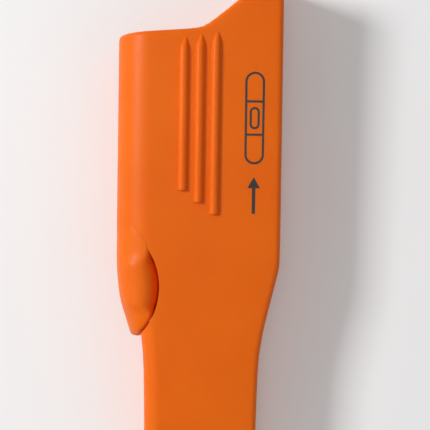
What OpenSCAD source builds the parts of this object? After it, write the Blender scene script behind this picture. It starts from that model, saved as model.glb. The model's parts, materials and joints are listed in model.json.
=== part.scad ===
// Sight level: a hand level with a sighting tube, a built-in vial and a sprung belt clip.
// It lies on its back: X across, Y along the sight line towards the target, Z up.

/* [Body] */
// Length of the two body shells, nose to eye end
body_len = 157; // [145:1:180]
// Width of the head
head_w = 52.3; // [50:0.1:56]
// Width of the handle at the eye end
handle_w = 34.9; // [33:0.1:38]
// How far the handle sits right of the middle of the head
handle_shift = 1.5; // [0.5:0.1:2.5]
// Widening of each side of the handle per millimetre towards the head
handle_flare = 0.013; // [0:0.001:0.03]
// Thickness of the body at the nose
nose_t = 31; // [29:0.1:34]
// Thickness of the body at the eye end
eye_t = 27; // [26:0.1:30]
// Height of the joint between the two shells
split_z = 14.5; // [13.5:0.1:15.5]
// Wall of the shells
wall = 2.4; // [2:0.1:2.8]
// Rounding of the flank of the head, on the clip side
flank_r = 11; // [9:0.1:11.5]
// Rounding of the flank of the handle, on the clip side
grip_r = 5; // [3:0.1:7]
// Rounding of the other outer edges
edge_r = 1.8; // [1.2:0.1:2.4]
// Fall of the front face from the flank to the right edge
crown = 1.2; // [0.4:0.1:1.6]
// Distance from the nose to the start of the waist
waist_back = 91.8; // [88:0.1:96]
// Angle at which the sides draw in to the handle
waist_angle = 14.4; // [13:0.1:16]

/* [Nose] */
// Distance from the nose to the shoulder, along the middle
hood_len = 17.6; // [15:0.1:20]
// Slope of the window face of the nose
nose_angle = 40; // [36:0.5:43]
// Where the window face leaves the shoulder, from the middle
nose_foot_x = 1.1; // [0:0.1:2]
// Slant of the shoulder
shoulder_slant = 3.7; // [2:0.1:5]
// Softness of the hollow between shoulder and window face
nose_blend = 0.75; // [0.3:0.05:1.2]

/* [Grip ribs] */
// Number of ribs on the front
rib_count = 3; // [1:1:4]
// Width of a rib on the face
rib_w = 3; // [2:0.1:3.6]
// Height of a rib above the face
rib_h = 1.4; // [0.8:0.1:1.5]
// Spacing of the ribs
rib_pitch = 5; // [4:0.1:5.5]
// Middle of the rib group, from the middle of the head
rib_x = 0.05; // [-2:0.05:2]
// Length of the first rib
rib_len = 48; // [30:0.5:52]
// Extra length of each next rib at its lower end
rib_step = 3.7; // [0:0.1:5]
// Extra length of each next rib at its tip
rib_rise = 0.95; // [0:0.05:1.2]
// Length of the pointed tip of a rib
rib_tip = 4.5; // [3:0.1:6]
// Shift of the point of that tip to the right
rib_lean = 0.6; // [0:0.1:0.8]
// Gap from the first tip to the shoulder
rib_clear = 2.6; // [2:0.1:5]

/* [Belt clip] */
// Distance from the nose to the root of the clip at the skin
clip_back = 78.75; // [74:0.05:82]
// Length of the clip from its root to its tip
clip_len = 36; // [34:0.1:37]
// Wall of the clip
clip_wall = 2.4; // [2:0.1:2.8]
// Radius of the hollow behind the clip
scoop_r = 21.6; // [20:0.1:24]
// How far the hollow cuts in from the skin of the head
scoop_depth = 14.35; // [13.5:0.1:15]
// How far the tip of the clip draws in from the skin
clip_draw = 4.5; // [4:0.1:5]
// How far the corners of the tip are rounded off on the front and on the back
clip_thin = 7; // [4:0.1:8]
// Length of that rounding
clip_round = 10; // [6:0.1:12]
// Width over which the front rim of the clip rolls down towards the body
rim_roll = 4.6; // [3.6:0.1:5]
// Height of that roll
rim_fall = 6; // [4:0.1:6.5]
// Thickness of the rim under the roll
rim_under = 1.5; // [1.2:0.1:1.8]
// Gap between the front rim of the clip and the body
front_gap = 0.5; // [0.4:0.1:0.8]
// Gap between the back rim of the clip and the body
rear_gap = 1; // [0.8:0.1:1.5]
// Length of the clip before it draws in
clip_plain = 8.7; // [6:0.1:10]
// Distance from the tip to where the lip starts to close the hollow
lip_back = 10; // [9:0.1:10.5]
// Length over which it closes
lip_run = 3.2; // [2.5:0.1:4]
// Distance from the tip to where the bowl of the clip starts to fill
bowl_back = 12; // [11.5:0.1:13]
// Length over which it fills
bowl_run = 5.5; // [5:0.1:6]
// Radius of the bead that the clip turns on
bead_r = 1; // [0.8:0.05:1.1]
// Length of the bead
bead_len = 10; // [6:0.5:11]

/* [Sight line] */
// Distance from the sight line to the axis of the vial
sight_off = 8.8; // [8.3:0.1:9.3]
// Window length along the sloped face
win_l = 13; // [10:0.1:14]
// Window height across the body
win_h = 14; // [10:0.1:15]
// Middle of the window, right of the sight line
win_shift = 2; // [1.5:0.1:3]
// Width of the hidden lip round each window
lip_w = 1.2; // [0.8:0.1:1.5]
// Thickness of that lip
lip_t = 1; // [0.8:0.1:1.2]
// Distance from the nose to the hairline frame
reticle_back = 48; // [47:0.5:56]
// Aperture of the hairline frame
reticle_d = 11; // [9:0.1:12]
// Thickness of the hairline
hair_d = 0.3; // [0.2:0.05:0.5]
// Distance from the nose to the field stop
stop_back = 110; // [100:1:120]
// Aperture of the field stop
stop_d = 10; // [8:0.1:11]
// Thickness of the frame and stop plates
plate_t = 2; // [1.6:0.1:2.4]
// Width of those plates
plate_w = 15; // [14:0.1:16]

/* [Vial] */
// Distance from the nose to the middle of the vial
vial_back = 30; // [29:0.1:31]
// Outer diameter of the vial
vial_d = 8.6; // [8:0.1:8.8]
// Wall of the lugs round the vial
lug_wall = 0.6; // [0.5:0.05:0.8]
// Wall of the vial
vial_wall = 1.1; // [0.8:0.05:1.2]
// Length of the vial
vial_len = 28; // [27:0.1:29]
// Length of the plug that seals it
plug_len = 4; // [3:0.1:4.5]
// Diameter of the bubble
bubble_d = 2.6; // [2.2:0.1:2.8]
// Length of the bubble
bubble_len = 8; // [7:0.1:9]
// Travel of the bubble each way
bubble_run = 4.5; // [3:0.1:5]
// Width of a level line
ring_w = 0.6; // [0.4:0.1:0.8]
// Height of a level line over the vial
ring_h = 0.2; // [0.15:0.05:0.3]
// Length of the window over the vial
vial_win_l = 22; // [18:0.1:23]
// Width of that window
vial_win_w = 9; // [7:0.1:10]

/* [Mirror] */
// Length of the mirror down its slope
mirror_l = 11; // [9:0.1:11.5]
// Width of the mirror, over half of the field
mirror_w = 6; // [5:0.1:6.2]
// Thickness of the mirror
mirror_t = 1.2; // [1:0.1:1.5]
// Gap from the mirror to the split of the field
mirror_gap = 0.5; // [0.3:0.1:1]

/* [Eyepiece] */
// Diameter of the eye lens
lens_d = 11.4; // [10:0.1:11.6]
// Thickness of the eye lens
lens_t = 3; // [2.5:0.1:3.2]
// Neck of the eyecup in the end wall
neck_d = 14; // [13.8:0.1:14.6]
// Flange of the eyecup
cup_d = 17; // [16:0.1:18]
// How far the eyecup stands out
cup_out = 3; // [2:0.1:4]
// Depth of the eye lens behind the end of the body
lens_in = 1; // [0.8:0.1:1.2]
// Rise of the curved face of the lens
lens_rise = 1; // [0.6:0.1:1.2]
// Lip of the eyecup over the lens
lens_lip = 0.8; // [0.6:0.1:1]
// Bevel of the mouth of the eyecup
mouth_bevel = 1.6; // [1:0.1:1.8]
// Length of the ring behind the lens
hold_len = 2; // [1.5:0.1:2.2]
// Wall of that ring
hold_wall = 1.2; // [1:0.1:1.5]
// How far the lip of the eyecup is let into the end wall
cup_seat = 0.4; // [0.2:0.05:0.6]
// Length of the barrel inside the body
barrel_len = 5.2; // [4.9:0.1:6]

/* [Fasteners] */
// Shank of a body screw
screw_d = 2.4; // [2:0.1:2.8]
// Head of a body screw
screw_head_d = 5; // [4.4:0.1:5.4]
// Height of that head
screw_head_h = 2; // [1.6:0.1:2.2]
// Depth of the recess that hides the head
screw_sink = 4; // [3.5:0.1:5]
// How far a screw bites into the front shell
screw_bite = 7; // [5:0.5:8]
// Distance from the shoulder to the first body screw
screw_front = 12; // [10:0.5:14]
// Distance from the start of the waist to the second one, towards the nose
screw_mid = 24; // [20:0.5:26]
// Distance from the eye end to the third one
screw_grip = 34; // [32:0.5:38]
// Distance from the eye end to the last one
screw_end = 9; // [8.5:0.5:12]
// Boss round a body screw
boss_d = 7.4; // [7:0.1:8]
// Shank of the small screws inside
pin_d = 1.8; // [1.6:0.1:2]
// Head of the small screws
pin_head_d = 3.6; // [3.2:0.1:3.8]
// Height of that head
pin_head_h = 1.3; // [1:0.1:1.4]
// Length of the shank under the plate
pin_bite = 2.6; // [2:0.1:3]
// Post under the inner plates
post_d = 5; // [4.6:0.1:5.4]
// Height at which the inner plates sit
deck_z = 6; // [5.6:0.1:6.2]

/* [Fits] */
// Gap round the root of the clip
clip_gap = 0.2; // [0.18:0.01:0.3]
// Gap at the tip of the clip
tip_gap = 0.5; // [0.45:0.05:0.6]
// Running gap of the bead
bead_gap = 0.05; // [0.03:0.01:0.08]
// Gap of a seated piece in its seat
seat_gap = 0.05; // [0.03:0.01:0.1]
// Gap round a screw head in its recess
head_gap = 0.3; // [0.2:0.05:0.4]
// Gap round the shank of a body screw in the rear shell
shank_gap = 0.2; // [0.1:0.05:0.3]
// Gap round a small screw in its plate
pin_gap = 0.1; // [0.05:0.05:0.15]
// Gap from a boss to the wall beside it
boss_gap = 1; // [0.5:0.1:1.5]
// Gap round the bubble
bubble_gap = 0.3; // [0.2:0.05:0.35]

/* [Hidden] */
$fn = 64;
FAR = 200;
ORANGE = [0.92, 0.38, 0.04];
BLACK = [0.09, 0.09, 0.10];
STEEL = [0.72, 0.73, 0.75];
CLEAR = [0.80, 0.90, 0.92, 0.35];

y_nose = (body_len + cup_out) / 2;
y_eye = y_nose - body_len;
y_waist = y_nose - waist_back;
y_root = y_nose - clip_back;
y_tip = y_root - clip_len;
y_vial = y_nose - vial_back;
y_reticle = y_nose - reticle_back;
y_stop = y_nose - stop_back;
skin_x = -head_w / 2;
face_slope = (nose_t - eye_t) / body_len;
edge_roll = edge_r - 0.3;

// The hollow behind the clip is a cylinder that starts at the skin, at the clip's root
scoop_x = skin_x + scoop_depth - scoop_r;
scoop_y = y_root - sqrt(pow(scoop_r, 2) - pow(skin_x - scoop_x, 2));
bead_x = skin_x + clip_wall / 2;
bead_y = scoop_y + sqrt(pow(scoop_r, 2) - pow(bead_x - scoop_x, 2));

// Steps of the lofts
FLANK_STEPS = 7;
EDGE_STEPS = 4;
SCOOP_STEPS = 22;
HANDLE_STEPS = 7;
ROLL = [0, 30, 60, 90];
FACE_U = [0.20, 0.30, 0.36, 0.41, 0.46, 0.51, 0.57, 0.66, 0.78, 0.89, 0.95, 1];

function lerp(a, b, t) = a + (b - a) * t;
function ramp(t) = min(1, max(0, t));
function smooth(t) = let(u = ramp(t)) u * u * (3 - 2 * u);
function soft_min(a, b, s) = (a + b) / 2 - sqrt(pow((a - b) / 2, 2) + s * s);
function soft_max(a, b, s) = (a + b) / 2 + sqrt(pow((a - b) / 2, 2) + s * s);

// Outline: half widths of head and handle joined by a slanting waist
WAIST_BLEND = 0.85;
HEAD_BLEND = 0.25;
function handle_half(y) = handle_w / 2 + handle_flare * (y - y_eye);
function slant(y, start) = head_w / 2 - tan(waist_angle) * (start - y);
function right_x(y) =
    soft_min(head_w / 2, soft_max(handle_half(y) + handle_shift, slant(y, y_waist), WAIST_BLEND), HEAD_BLEND);
function left_x(y) =
    y >= y_root ? skin_x : -soft_max(handle_half(y) - handle_shift, slant(y, y_root), WAIST_BLEND);
function flank_rad(y) = lerp(grip_r, flank_r, ramp((y - y_tip) / clip_len));
function face_z(y) = eye_t + face_slope * (y - y_eye);
function scoop_edge(y, grow) =
    abs(y - scoop_y) >= scoop_r + grow ? -FAR
    : scoop_x + sqrt(pow(scoop_r + grow, 2) - pow(y - scoop_y, 2));

// Nose: a slanted shoulder, a soft hollow, the sloped window face and a blunt tip
TIP_BLEND = 0.4;
function shoulder_y(x) = y_nose - hood_len + tan(shoulder_slant) * x;
function window_y(x) = shoulder_y(nose_foot_x) + tan(nose_angle) * (x - nose_foot_x);
function nose_y(x) = soft_min(soft_max(shoulder_y(x), window_y(x), nose_blend), y_nose, TIP_BLEND);
function nose_stretch(x) = sqrt(1 + pow((nose_y(x + 0.01) - nose_y(x - 0.01)) / 0.02, 2));

// The vial lies against the lip of its window, and the sight line and nose window follow it
vial_x = right_x(y_vial) - wall - 2 * seat_gap - lip_t - lug_wall - vial_d / 2;
sight_x = vial_x - sight_off;
win_x = sight_x + win_shift;

// One section as [x, drop below the face, 1 at the split], from the clip side to the right
function section(y, inset, fall) =
    let(l = left_x(y) + inset, r = right_x(y) - inset, cut = max(l, scoop_edge(y, inset)),
        ra = max(flank_rad(y) - inset, 0.5), rb = max(edge_r - inset, 0.3),
        x0 = max(l + ra, cut), a0 = acos(max(0, 1 - (cut - l) / ra)))
    concat([[cut, 0, 1]],
           [for (k = [0:FLANK_STEPS]) let(a = lerp(a0, 90, k / FLANK_STEPS))
               [max(l + ra * (1 - cos(a)), cut), ra * (1 - sin(a)), 0]],
           [for (u = FACE_U) [lerp(x0, r - rb, u), fall * u * u, 0]],
           [for (k = [1:EDGE_STEPS]) let(a = 90 * k / EDGE_STEPS)
               [r - rb * (1 - sin(a)), fall + rb * (1 - cos(a)), 0]],
           [[r, 0, 1]]);

function fall_of(side) = side > 0 ? crown : 0;
function face_fall(x, y) =
    let(x0 = max(left_x(y) + flank_rad(y), scoop_edge(y, 0)))
    crown * pow(ramp((x - x0) / (right_x(y) - edge_r - x0)), 2);

// Stations along the body between its two rounded ends
scoop_a0 = asin((y_tip + 1 - scoop_y) / scoop_r);
scoop_a1 = asin((y_root - scoop_y) / scoop_r);
STATIONS = concat(
    [for (i = [0:HANDLE_STEPS - 1]) lerp(y_eye + wall + edge_r + 0.5, y_tip, i / HANDLE_STEPS)],
    [for (i = [0:SCOOP_STEPS]) scoop_y + scoop_r * sin(lerp(scoop_a0, scoop_a1, i / SCOOP_STEPS))],
    [for (d = [0.4, 0.8, 1.2, 1.6]) y_root + d * wall],
    [shoulder_y(skin_x) - wall - 2 * edge_r]);

// All points of one skin of a half shell: inset 0 is the outside, inset wall the inside
function skin_row(sec, side, inset, base, ys) =
    [for (i = [0:len(sec) - 1]) let(p = sec[i], y = ys[i],
        h = side > 0 ? face_z(y) - split_z : split_z)
        [p[0], y, split_z + side * (base || p[2] ? 0 : h - inset - p[1])]];
function flat_row(side, inset, more, base, y) =
    let(sec = section(y, inset + more, fall_of(side)))
    skin_row(sec, side, inset + more, base, [for (p = sec) y]);
function nose_row(side, inset, more, base, back) =
    let(sec = section(y_nose - hood_len, inset + more, fall_of(side)))
    skin_row(sec, side, inset + more, base, [for (p = sec) nose_y(p[0]) - back * nose_stretch(p[0])]);
function skin_points(side, inset) = concat(
    flat_row(side, inset, edge_roll, true, y_eye + inset),
    [for (a = ROLL) each flat_row(side, inset, edge_roll * (1 - sin(a)), false,
                                  y_eye + inset + edge_roll * (1 - cos(a)))],
    [for (y = STATIONS) each flat_row(side, inset, 0, false, y)],
    [for (a = ROLL) each nose_row(side, inset, edge_roll * (1 - cos(a)), false,
                                  inset + edge_roll * (1 - sin(a)))],
    nose_row(side, inset, edge_roll, true, inset));

// Triangles of a grid of points, of the strip between two loops, and without empty ones
function grid_tris(rows, cols, from, flip) =
    [for (i = [0:rows - 2], j = [0:cols - 2],
          t = flip ? [[0, 1, cols + 1], [0, cols + 1, cols]] : [[0, cols + 1, 1], [0, cols, cols + 1]])
        [for (k = t) from + i * cols + j + k]];
function grid_edge(rows, cols, from) = concat(
    [for (j = [0:cols - 2]) from + j],
    [for (i = [0:rows - 2]) from + i * cols + cols - 1],
    [for (j = [cols - 1:-1:1]) from + (rows - 1) * cols + j],
    [for (i = [rows - 1:-1:1]) from + i * cols]);
function strip_tris(a, b, flip) =
    [for (i = [0:len(a) - 1]) let(n = (i + 1) % len(a))
        for (t = flip ? [[a[i], b[i], b[n]], [a[i], b[n], a[n]]]
                      : [[a[i], b[n], b[i]], [a[i], a[n], b[n]]]) t];
function apart(p, q) = norm(p - q) > 1e-6;
function real_tris(pts, tris) =
    [for (t = tris)
        if (apart(pts[t[0]], pts[t[1]]) && apart(pts[t[1]], pts[t[2]]) && apart(pts[t[2]], pts[t[0]])) t];

// Half shell: outer skin, inner skin and the rim that joins them at the split
module half_shell(side) {
    cols = len(section(0, 0, 0));
    outer = skin_points(side, 0);
    inner = skin_points(side, wall);
    rows = len(outer) / cols;
    pts = concat(outer, inner);
    flip = side < 0;
    tris = concat(grid_tris(rows, cols, 0, flip),
                  grid_tris(rows, cols, len(outer), !flip),
                  strip_tris(grid_edge(rows, cols, 0), grid_edge(rows, cols, len(outer)), flip));
    polyhedron(pts, real_tris(pts, tris), convexity = 8);
}

// Places of the fasteners
boss_in = wall + boss_d / 2 + boss_gap;
SCREWS = [[skin_x + flank_r + boss_gap, y_nose - hood_len - screw_front],
          [head_w / 2 - boss_in, y_waist + screw_mid],
          [handle_shift - handle_w / 2 + boss_in, y_eye + screw_grip],
          [handle_shift - handle_w / 2 + boss_in, y_eye + screw_end]];
CRADLE_PINS = [for (s = [-1, 1]) [vial_x, y_vial + s * vial_len * 2 / 7]];
mirror_half = mirror_l / 2 * sin(45);
bracket_pin = [sight_x - mirror_half - mirror_t - pin_head_d / 2 - 2, y_vial + mirror_half];
core_d = screw_d;
deck_t = 2;
lug_t = 3;
seat_wall = 1.6;
seat_grip = 2;

module at_screws() {
    for (p = SCREWS) translate([p[0], p[1], 0]) children();
}
module at_pins(places) {
    for (p = places) translate([p[0], p[1], deck_z]) children();
}
module on_sight(y) {
    translate([sight_x, y, split_z]) rotate([90, 0, 0]) children();
}
module on_nose() {
    translate([win_x, nose_y(win_x), split_z]) rotate([0, 0, nose_angle]) children();
}
module on_vial(from) {
    translate([vial_x, y_vial - vial_len / 2 + from, split_z]) rotate([-90, 0, 0]) children();
}
module block(lo, hi) {
    translate(lo) cube(hi - lo);
}

// Half-round bar on the front face, drawn to a curved point at y1
RIB_SIDES = 20;
RIB_TIP = [0, 0.2, 0.38, 0.53, 0.66, 0.77, 0.86, 0.93, 1];
module grip_rib(x, y0, y1) {
    r = (pow(rib_w / 2, 2) + pow(rib_h, 2)) / (2 * rib_h);
    rings = concat([[0, y0, r]],
        [for (t = RIB_TIP) [rib_lean * t * t, y1 - rib_tip * (1 - t), lerp(r, 0.05, pow(t, 1.8))]]);
    loop = [for (k = [0:RIB_SIDES - 1]) k];
    last = (len(rings) - 1) * RIB_SIDES;
    pts = [for (g = rings, k = loop) let(a = 360 * k / RIB_SIDES)
        [x + g[0] + g[2] * cos(a), g[1],
         face_z(g[1]) - face_fall(x, g[1]) + rib_h - r + g[2] * sin(a)]];
    sides = [for (i = [0:len(rings) - 2]) each
        strip_tris([for (k = loop) i * RIB_SIDES + k], [for (k = loop) (i + 1) * RIB_SIDES + k], false)];
    ends = [[for (k = loop) RIB_SIDES - 1 - k], [for (k = loop) last + k]];
    polyhedron(pts, concat(sides, ends), convexity = 4);
}
module grip_ribs() {
    x0 = rib_x - (rib_count - 1) / 2 * rib_pitch;
    tip = nose_y(x0) - rib_clear;
    for (i = [0:rib_count - 1])
        grip_rib(x0 + i * rib_pitch, tip - rib_len - i * rib_step, tip + i * rib_rise);
}

// Openings that go through both shells
module shell_cuts() {
    on_nose() block([-win_l / 2, -3 * wall, -win_h / 2], [win_l / 2, wall, win_h / 2]);
    block([head_w / 2 - 2 * wall, y_vial - vial_win_l / 2, split_z - vial_win_w / 2],
          [head_w / 2 + wall, y_vial + vial_win_l / 2, split_z + vial_win_w / 2]);
    on_sight(y_eye + 2 * wall) cylinder(d = neck_d + 2 * seat_gap, h = 3 * wall);
    on_sight(y_eye + wall - cup_seat + lip_t + 2 * seat_gap)
        cylinder(d = neck_d + 2 * (lip_w + seat_gap), h = lip_t + 2 * seat_gap);
    translate([bead_x, bead_y, split_z])
        cylinder(r = bead_r + bead_gap, h = bead_len + 2 * seat_gap, center = true);
}

module front_shell() {
    color(ORANGE) difference() {
        union() {
            half_shell(1);
            grip_ribs();
            for (p = SCREWS) translate([p[0], p[1], split_z])
                cylinder(d = boss_d, h = face_z(p[1]) - face_fall(p[0], p[1]) - split_z - wall / 2);
        }
        shell_cuts();
        at_screws() translate([0, 0, split_z - 1]) cylinder(d = core_d, h = screw_bite + 2);
    }
}

// Slot that holds the foot of an upright plate
module plate_seat(y) {
    half = plate_t / 2 + seat_gap + seat_wall;
    difference() {
        block([sight_x - plate_w / 2 - seat_wall, y - half, wall / 2],
              [sight_x + plate_w / 2 + seat_wall, y + half, deck_z + seat_grip]);
        block([sight_x - plate_w / 2 - seat_gap, y - plate_t / 2 - seat_gap, deck_z],
              [sight_x + plate_w / 2 + seat_gap, y + plate_t / 2 + seat_gap, deck_z + 2 * seat_grip]);
    }
}

module rear_shell() {
    color(ORANGE) difference() {
        union() {
            half_shell(-1);
            at_screws() translate([0, 0, wall / 2]) cylinder(d = boss_d, h = split_z - wall / 2);
            for (p = concat(CRADLE_PINS, [bracket_pin])) translate([p[0], p[1], wall / 2])
                cylinder(d = post_d, h = deck_z - wall / 2);
            plate_seat(y_reticle);
            plate_seat(y_stop);
        }
        shell_cuts();
        at_screws() translate([0, 0, -1]) {
            cylinder(d = screw_head_d + 2 * head_gap, h = screw_sink + 1);
            cylinder(d = screw_d + 2 * shank_gap, h = split_z + 2);
        }
        at_pins(concat(CRADLE_PINS, [bracket_pin])) translate([0, 0, -pin_bite])
            cylinder(d = pin_d, h = pin_bite + 1);
    }
}

// Belt clip: a spoon-shaped shell that carries on the flank of the head
CLIP_STEPS = 20;
TIP_NIB = 0.25;
function clip_t(y) = ramp((y_root - clip_plain - y) / (clip_len - clip_plain));
function clip_skin(y) = skin_x + clip_draw * pow(clip_t(y), 2.2);
function clip_out(y) = smooth((y_root - clip_plain - y) / 5);
function clip_shut(y) = smooth((y_tip + lip_back - y) / lip_run);
function clip_lip(y, side) =
    let(edge = scoop_edge(y, 0),
        gap = lerp(clip_gap, side > 0 ? front_gap : rear_gap, clip_out(y)))
    lerp(soft_max(skin_x + flank_r, edge - gap, 0.04), max(left_x(y), edge) - tip_gap, clip_shut(y));
function rim_grow(y, side) = side > 0 ? clip_out(y) * (1 - clip_shut(y)) : 0;
function clip_drop(y) = clip_thin * (1 - sqrt(1 - pow(ramp((y_tip + clip_round - y) / clip_round), 2)));
function clip_bowl(y) = sqrt(1 - pow(ramp((y_tip + bowl_back - y) / bowl_run), 2));
function clip_root(x) = scoop_y + sqrt(pow(scoop_r - clip_gap, 2) - pow(x - scoop_x, 2));

// One point of a section: u runs 0 to 1 over the outer skin, 1 to 2 round the rim, 2 to 3 over the inner skin
rim_r = clip_wall / 2;
function clip_point(u, side, s, nib) =
    let(x0 = skin_x + flank_r, a0 = u * acos(rim_r / flank_r), ai = (3 - u) * 90, b = (u - 1) * 180,
        xa = u <= 1 ? x0 - flank_r * cos(a0)
           : u < 2 ? x0 - rim_r * (1 - sin(b))
           : x0 - rim_r - (flank_r - rim_r - clip_wall) * cos(ai),
        y = lerp(clip_root(xa), y_tip, s),
        lip = clip_lip(y, side) - nib, skin = clip_skin(y) + nib, bowl = clip_bowl(y),
        grow = rim_grow(y, side), roll = lerp(rim_r, rim_roll, grow), fall = lerp(rim_r, rim_fall, grow),
        lead = lip - grow * roll, deep = fall + lerp(rim_r, rim_under, grow),
        h = (side > 0 ? face_z(y) - split_z : split_z) - clip_drop(y) - nib,
        turn = min(flank_r, h - 1), a_end = acos((1 - grow) * roll / (lead - skin)),
        a = u * a_end, top = h - turn * (1 - sin(a_end)), low = h - deep)
    u <= 1 ? [lead - (lead - skin) * cos(a), y - nib, split_z + side * (h - turn * (1 - sin(a)))]
    : u < 2 ? [lip - roll * (b > 90 ? bowl : 1) * (1 - sin(b)), y - nib,
               split_z + side * (top - fall + (b > 90 ? top - fall - low : fall) * cos(b))]
    : [lip - roll * bowl - (lip - skin - clip_wall - roll) * bowl * cos(ai), y - nib,
       split_z + side * (low - (turn - deep) * (1 - sin(ai)))];
OUTER = [for (k = [0:FLANK_STEPS]) k / FLANK_STEPS];
RIM = [1.1, 1.2, 1.3, 1.4, 1.5, 1.75];
HALF = concat(OUTER, RIM, [for (u = OUTER) 2 + u]);
function clip_loop(s, nib) = concat(
    [for (k = [FLANK_STEPS:-1:0]) clip_point(HALF[k], 1, s, nib)],
    [for (u = HALF) clip_point(u, -1, s, nib)],
    [for (k = [len(HALF) - 1:-1:FLANK_STEPS + 1]) clip_point(HALF[k], 1, s, nib)]);

// Faces that close an end of the clip: strips between the skins, and a fan in each rim
function clip_end(n, m) =
    let(last = n - 1 - len(RIM)) concat(
    [for (k = [0:2 * m]) each [[k, k + 1, last - k], [k + 1, last - k - 1, last - k]]],
    [for (k = [0:len(RIM)]) [2 * m + 1, 2 * m + 1 + k, 2 * m + 2 + k]],
    [for (k = [0:len(RIM)]) [0, last + k, (last + k + 1) % n]]);

module clip_form() {
    loops = concat([for (i = [0:CLIP_STEPS]) clip_loop(i / CLIP_STEPS, 0)], [clip_loop(1, TIP_NIB)]);
    n = len(loops[0]);
    pts = [for (l = loops) each l];
    sides = [for (i = [0:len(loops) - 2]) each
        strip_tris([for (k = [0:n - 1]) i * n + k], [for (k = [0:n - 1]) (i + 1) * n + k], true)];
    end = clip_end(n, FLANK_STEPS);
    far = (len(loops) - 1) * n;
    ends = concat(end, [for (t = end) [far + t[0], far + t[2], far + t[1]]]);
    polyhedron(pts, real_tris(pts, concat(sides, ends)), convexity = 8);
}

module belt_clip() {
    color(ORANGE) union() {
        clip_form();
        translate([bead_x, bead_y, split_z]) cylinder(r = bead_r, h = bead_len, center = true);
    }
}

// Clear pane that fills an opening of the shells, with a lip behind the wall; +Y is out
module pane(l, h) {
    block([-l / 2 + seat_gap, -wall - seat_gap, -h / 2 + seat_gap], [l / 2 - seat_gap, 0, h / 2 - seat_gap]);
    block([-l / 2 - lip_w, -wall - seat_gap - lip_t, -h / 2 - lip_w],
          [l / 2 + lip_w, -wall - seat_gap, h / 2 + lip_w]);
}
module objective_window() {
    color(CLEAR) on_nose() pane(win_l, win_h);
}
module vial_window() {
    color(CLEAR) translate([right_x(y_vial), y_vial, split_z]) rotate([0, 0, -90])
        pane(vial_win_l, vial_win_w);
}

// Vial: a tube closed at the eye side, sealed by a plug at the nose side
bore_d = vial_d - 2 * vial_wall;
fill_len = vial_len - vial_wall - plug_len;
bubble_lift = bore_d / 2 - bubble_gap - bubble_d / 2;
module capsule(d, l) {
    rotate([-90, 0, 0]) rotate_extrude() intersection() {
        union() {
            for (s = [-1, 1]) translate([0, s * (l - d) / 2]) circle(d = d);
            square([d, l - d], center = true);
        }
        translate([0, -l]) square([d, 2 * l]);
    }
}
module vial_tube() {
    color(CLEAR) on_vial(0) difference() {
        cylinder(d = vial_d, h = vial_len);
        translate([0, 0, vial_wall]) cylinder(d = bore_d, h = vial_len);
    }
}
module vial_liquid() {
    color([0.75, 0.88, 0.15, 0.6]) difference() {
        on_vial(vial_wall + seat_gap) cylinder(d = bore_d - 2 * seat_gap, h = fill_len - 2 * seat_gap);
        translate([vial_x + bubble_lift, y_vial, split_z])
            capsule(bubble_d + 2 * bubble_gap, bubble_len + 2 * bubble_run + 2 * bubble_gap);
    }
}
module vial_bubble() {
    color([0.95, 0.98, 0.85, 0.4]) translate([vial_x + bubble_lift, y_vial, split_z])
        capsule(bubble_d, bubble_len);
}
module vial_plug() {
    color(BLACK) on_vial(vial_len - plug_len) cylinder(d = bore_d - 2 * seat_gap, h = plug_len);
}
module vial_rings() {
    color(BLACK) for (s = [-1, 1]) on_vial(vial_len / 2 + s * (bubble_len + ring_w) / 2 - ring_w / 2)
        difference() {
            cylinder(d = vial_d + 2 * ring_h, h = ring_w);
            translate([0, 0, -1]) cylinder(d = vial_d + 2 * seat_gap, h = ring_w + 2);
        }
}

// Cradle: a plate on two posts, with a lug round each end of the vial
module vial_cradle() {
    side = vial_d / 2 + lug_wall;
    color(BLACK) difference() {
        union() {
            block([vial_x - side, y_vial - vial_len / 2, deck_z],
                  [vial_x + side, y_vial + vial_len / 2, deck_z + deck_t]);
            for (s = [0, vial_len - lug_t]) translate([0, y_vial - vial_len / 2 + s, 0]) {
                block([vial_x - side, 0, deck_z], [vial_x + side, lug_t, split_z]);
                translate([vial_x, 0, split_z]) rotate([-90, 0, 0]) cylinder(r = side, h = lug_t);
            }
        }
        on_vial(-1) cylinder(d = vial_d + 2 * seat_gap, h = vial_len + 2);
        at_pins(CRADLE_PINS) translate([0, 0, -1]) cylinder(d = pin_d + 2 * pin_gap, h = deck_t + 2);
    }
}

// Small round-headed screw through an inner plate
module small_screw() {
    translate([0, 0, -pin_bite + 0.2]) cylinder(d = pin_d, h = pin_bite + deck_t);
    translate([0, 0, deck_t]) difference() {
        cylinder(d = pin_head_d, h = pin_head_h);
        for (a = [0, 90]) rotate([0, 0, a])
            block([-pin_head_d / 3, -0.25, pin_head_h / 2], [pin_head_d / 3, 0.25, pin_head_h + 1]);
    }
}
module cradle_screws() {
    color(STEEL) at_pins(CRADLE_PINS) small_screw();
}
module bracket_screw() {
    color(STEEL) at_pins([bracket_pin]) small_screw();
}

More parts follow.
